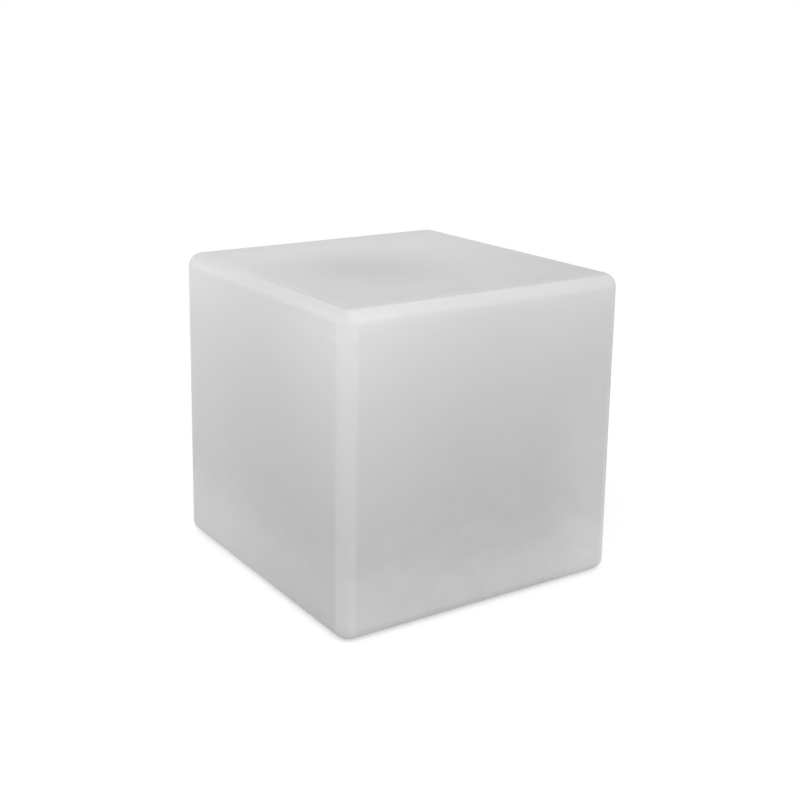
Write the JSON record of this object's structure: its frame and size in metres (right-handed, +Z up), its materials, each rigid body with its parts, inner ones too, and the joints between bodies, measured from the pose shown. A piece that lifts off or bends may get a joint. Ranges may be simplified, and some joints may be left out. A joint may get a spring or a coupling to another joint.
{
  "type": "led cube light",
  "caption": "Hollow white translucent cube light with rounded edges; a sealed rechargeable light module closes a round recess in its underside.",
  "frame": {"origin": "on the floor, under the middle of the cube, where the feet stand", "axes": "+Z up; front face towards -Y; +X to the right seen from the front"},
  "size_m": [0.4, 0.4, 0.388],
  "materials": {
    "polyethylene": "satin moulded translucent white",
    "black_rubber": "matte",
    "brass": "turned",
    "white_abs": "fine spark-eroded texture",
    "grey_silicone": "matte",
    "steel": "zinc plated",
    "green_board": "solder mask",
    "black_epoxy": "moulded epoxy",
    "ferrite": "sintered",
    "can_aluminium": "drawn can",
    "ivory_nylon": "moulded nylon",
    "black_plastic": "moulded",
    "grey_abs": "satin",
    "led_white": "encapsulated",
    "clear_acrylic": "polished",
    "nickel": "nickel plated",
    "cell_wrap": "heat-shrunk film over steel",
    "white_board": "white solder mask on aluminium",
    "frosted": "frosted polycarbonate",
    "lead_white": "pvc insulation",
    "lead_red": "pvc insulation"
  },
  "bodies": {
    "lamp": {"shell": "polyethylene", "rubber_feet": "black_rubber", "screw_inserts": "brass", "base_cover": "white_abs", "base_gasket": "grey_silicone", "base_screws": "steel", "module_housing": "white_abs", "housing_screws": "steel", "control_board": "green_board", "board_screws": "steel", "controller_chip": "black_epoxy", "power_inductor": "ferrite", "storage_capacitor": "can_aluminium", "board_sockets": "ivory_nylon", "switch_body": "black_epoxy", "button_seal": "grey_silicone", "indicator_led": "led_white", "light_pipe": "clear_acrylic", "jack_body": "nickel", "jack_insulator": "black_plastic", "jack_contact": "nickel", "jack_seal": "black_rubber", "jack_nut": "nickel", "tether_anchor": "grey_silicone", "battery_cells": "cell_wrap", "cell_tabs": "nickel", "battery_cradle": "black_plastic", "cradle_screws": "steel", "battery_clamp": "black_plastic", "clamp_screws": "steel", "led_board": "white_board", "led_board_screws": "steel", "led_chips": "led_white", "ir_receiver": "black_epoxy", "dome_gasket": "grey_silicone", "light_dome": "frosted", "dome_screws": "steel", "led_leads": "lead_white", "battery_leads": "lead_red", "jack_leads": "lead_white"},
    "button": {"power_button": "grey_abs", "switch_stem": "black_plastic"},
    "port_cover": {"port_cover": "grey_silicone"}
  },
  "joints": [
    {"name": "power_button_press", "type": "slide", "parent": "lamp", "child": "button", "axis": [0, 0, 1], "range_m": [0, 0.0008], "stiffness_N_per_m": 300},
    {"name": "port_cover_swing", "type": "hinge", "parent": "lamp", "child": "port_cover", "pos_m": [0.0335, -0.014, 0.0126], "axis": [-1, 0, 0], "range_deg": [0, 120], "stiffness_Nm_per_rad": 0.03}
  ]
}
